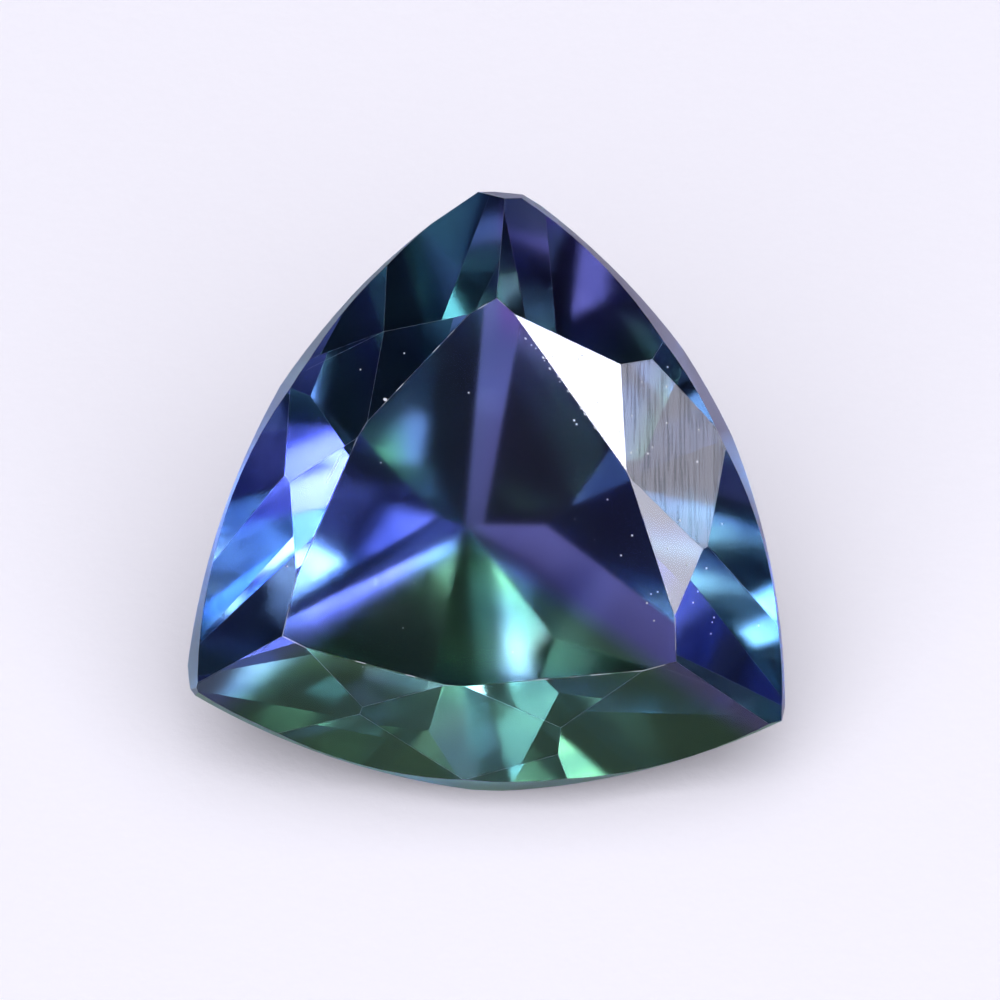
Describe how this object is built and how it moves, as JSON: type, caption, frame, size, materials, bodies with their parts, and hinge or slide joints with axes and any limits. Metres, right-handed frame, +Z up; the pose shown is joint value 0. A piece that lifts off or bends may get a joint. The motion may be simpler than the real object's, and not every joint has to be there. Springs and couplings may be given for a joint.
{
  "type": "trillion cut tanzanite",
  "caption": "Loose faceted gemstone, a curved triangle in plan with a flat table, a low crown and a deep pavilion, lying on one pavilion facet.",
  "frame": {"origin": "under the middle of the stone's box, on the surface that it lies on", "axes": "+Z up. +X runs across the table and +Y is up the table towards its top point, as the stone lies"},
  "size_m": [0.007, 0.0054, 0.0048],
  "materials": {
    "tanzanite": "polished clear violet blue crystal, with a finely ground girdle"
  },
  "bodies": {
    "root": {"stone": "tanzanite"}
  },
  "joints": []
}
